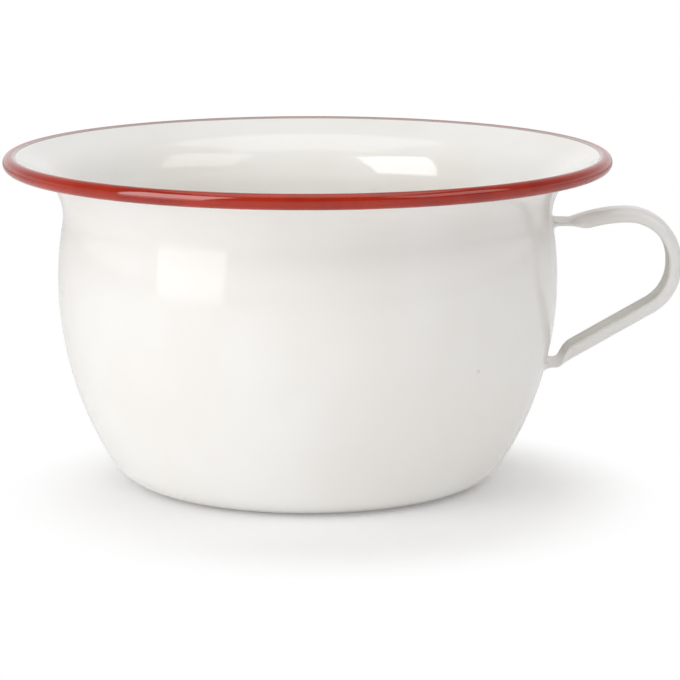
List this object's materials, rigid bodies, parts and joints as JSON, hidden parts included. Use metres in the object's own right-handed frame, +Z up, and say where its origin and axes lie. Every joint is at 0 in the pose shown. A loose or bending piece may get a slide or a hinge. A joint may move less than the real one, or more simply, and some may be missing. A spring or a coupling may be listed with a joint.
{
  "type": "chamber pot",
  "caption": "Low round chamber pot of enamelled sheet steel, with a flared lip, a rolled coloured rim and a pressed strap handle on one side.",
  "frame": {"origin": "on the pot's axis, in the plane of the ring that it stands on", "axes": "+Z up along the pot's axis, +X towards the handle"},
  "size_m": [0.246, 0.22, 0.12],
  "materials": {
    "sheet_steel": "drawn sheet",
    "white_enamel": "gloss",
    "red_enamel": "gloss"
  },
  "bodies": {
    "root": {"steel_vessel": "sheet_steel", "inner_enamel": "white_enamel", "outer_enamel": "white_enamel", "base_enamel": "white_enamel", "rim_enamel": "red_enamel", "handle_strap": "sheet_steel", "handle_enamel": "white_enamel", "upper_weld": "sheet_steel", "lower_weld": "sheet_steel"}
  },
  "joints": []
}
